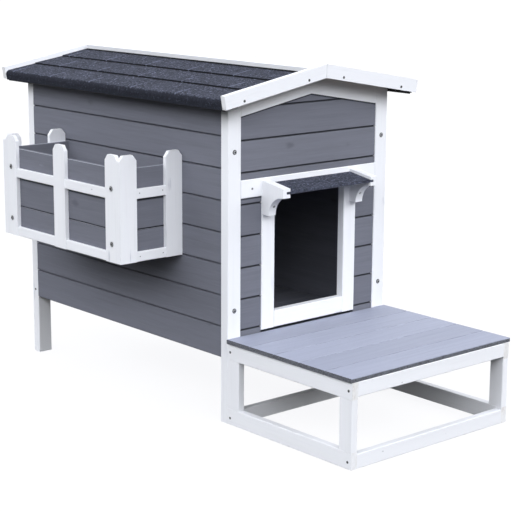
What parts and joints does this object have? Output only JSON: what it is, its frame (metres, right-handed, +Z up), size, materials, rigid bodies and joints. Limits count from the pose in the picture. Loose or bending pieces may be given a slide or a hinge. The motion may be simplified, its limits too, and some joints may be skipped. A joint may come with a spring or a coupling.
{
  "type": "cat house",
  "caption": "Raised wooden cat house with a felted gable roof that opens along the ridge, an open doorway under a small awning, a picket planter on one side and a porch deck in front.",
  "frame": {"origin": "on the ground under the middle of the whole object's bounding box", "axes": "+Z up; +Y from the porch towards the back of the house; +X to the right seen from the front, away from the planter"},
  "size_m": [0.6694, 1.149, 0.7486],
  "materials": {
    "white_timber": "satin white paint over planed softwood",
    "grey_boards": "matt grey paint over tongue and groove boards",
    "deck_paint": "matt blue-grey paint over planed boards",
    "roofing_felt": "mineral-faced bitumen felt",
    "bare_wood": "unpainted planed softwood",
    "stained_wood": "black stain on planed softwood",
    "fastener_steel": "zinc-plated steel"
  },
  "bodies": {
    "house": {"awning_board": "roofing_felt", "awning_bracket_left": "white_timber", "awning_bracket_right": "white_timber", "bargeboard_front_left": "white_timber", "bargeboard_rear_left": "white_timber", "bolts": "fastener_steel", "deck_boards": "deck_paint", "door_jamb_left": "white_timber", "door_jamb_right": "white_timber", "door_sill": "white_timber", "eave_batten_left": "stained_wood", "floor_bearers": "bare_wood", "floor_boards": "grey_boards", "front_gable_rail_left": "white_timber", "front_gable_rail_right": "white_timber", "front_wall_boards_left": "grey_boards", "front_wall_boards_right": "grey_boards", "front_wall_boards_top": "grey_boards", "hinge_leaves_fixed": "fastener_steel", "hinge_pins": "fastener_steel", "left_wall_boards": "grey_boards", "lintel_rail": "white_timber", "planter_floor_board": "grey_boards", "planter_front_end_boards": "grey_boards", "planter_pickets": "white_timber", "planter_rails": "white_timber", "planter_rear_end_boards": "grey_boards", "planter_side_boards": "grey_boards", "porch_bottom_cross_rails": "white_timber", "porch_bottom_rail_left": "white_timber", "porch_bottom_rail_right": "white_timber", "porch_legs_left": "white_timber", "porch_legs_right": "white_timber", "porch_top_cross_rails": "white_timber", "porch_top_rail_left": "white_timber", "porch_top_rail_right": "white_timber", "post_front_left": "white_timber", "post_front_right": "white_timber", "post_rear_left": "white_timber", "post_rear_right": "white_timber", "rear_gable_rail_left": "white_timber", "rear_gable_rail_right": "white_timber", "rear_wall_boards": "grey_boards", "ridge_batten_left": "bare_wood", "ridge_cap_left": "white_timber", "right_wall_boards": "grey_boards", "roof_felt_left": "roofing_felt", "roof_panel_left": "bare_wood", "side_wall_battens": "bare_wood"},
    "roof_lid": {"roof_panel_right": "bare_wood", "roof_felt_right": "roofing_felt", "eave_batten_right": "stained_wood", "ridge_batten_right": "bare_wood", "ridge_cap_right": "white_timber", "bargeboard_front_right": "white_timber", "bargeboard_rear_right": "white_timber", "hinge_leaves_lid": "fastener_steel"}
  },
  "joints": [
    {"name": "roof_lid_hinge", "type": "hinge", "parent": "house", "child": "roof_lid", "pos_m": [0.05725, 0.1665, 0.74638], "axis": [0, -1, 0], "range_deg": [0, 195]}
  ]
}
